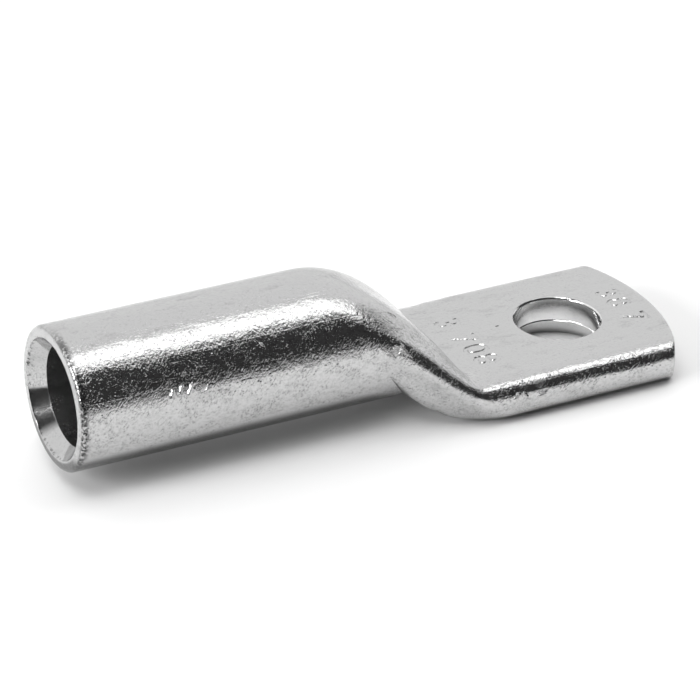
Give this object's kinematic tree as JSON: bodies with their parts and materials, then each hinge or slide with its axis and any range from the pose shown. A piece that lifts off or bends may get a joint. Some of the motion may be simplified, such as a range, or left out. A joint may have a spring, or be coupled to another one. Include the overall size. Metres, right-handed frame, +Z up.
{
  "type": "cable lug",
  "caption": "Tubular crimp lug: a thick round barrel takes a stranded cable, and the same tube is pressed flat into a palm with one hole for a stud.",
  "frame": {"origin": "on the stud hole's axis, at the palm's underside, which is the face that seats on a terminal", "axes": "+X from the mouth of the barrel to the tip of the palm, +Z up along the stud hole"},
  "size_m": [0.0983, 0.0304, 0.0239],
  "materials": {
    "tinned_copper": "matte tin plating over copper, with fine dark marks from handling"
  },
  "bodies": {
    "root": {"cable_lug": "tinned_copper"}
  },
  "joints": []
}
